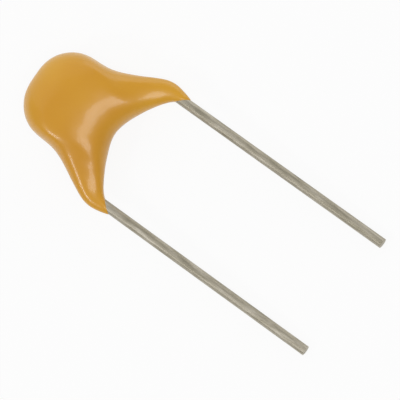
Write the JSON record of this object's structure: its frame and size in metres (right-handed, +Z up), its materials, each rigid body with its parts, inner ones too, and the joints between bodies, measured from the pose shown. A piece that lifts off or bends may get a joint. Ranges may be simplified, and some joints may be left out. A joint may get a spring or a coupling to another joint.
{
  "type": "multilayer ceramic capacitor",
  "caption": "Small radial-leaded ceramic capacitor: a dipped golden-tan epoxy body with two flared legs and straight tinned wire leads.",
  "frame": {"origin": "middle of the bottom of the box around the whole part, on the surface that it lies on", "axes": "+X from the coated head towards the lead tips, +Z up; the leads are +Y and -Y of the middle"},
  "size_m": [0.0152, 0.0059, 0.0023],
  "materials": {
    "epoxy": "gloss",
    "tinned_wire": "satin",
    "ceramic": "satin",
    "electrode_metal": "satin",
    "end_cap_metal": "satin",
    "solder": "gloss"
  },
  "bodies": {
    "root": {"ceramic_block": "ceramic", "electrode_left_1": "electrode_metal", "electrode_left_2": "electrode_metal", "electrode_left_3": "electrode_metal", "electrode_left_4": "electrode_metal", "electrode_left_5": "electrode_metal", "electrode_left_6": "electrode_metal", "electrode_left_7": "electrode_metal", "electrode_left_8": "electrode_metal", "electrode_right_1": "electrode_metal", "electrode_right_2": "electrode_metal", "electrode_right_3": "electrode_metal", "electrode_right_4": "electrode_metal", "electrode_right_5": "electrode_metal", "electrode_right_6": "electrode_metal", "electrode_right_7": "electrode_metal", "electrode_right_8": "electrode_metal", "end_cap_left": "end_cap_metal", "end_cap_right": "end_cap_metal", "epoxy_coating": "epoxy", "lead_left": "tinned_wire", "lead_right": "tinned_wire", "solder_left": "solder", "solder_right": "solder"}
  },
  "joints": []
}
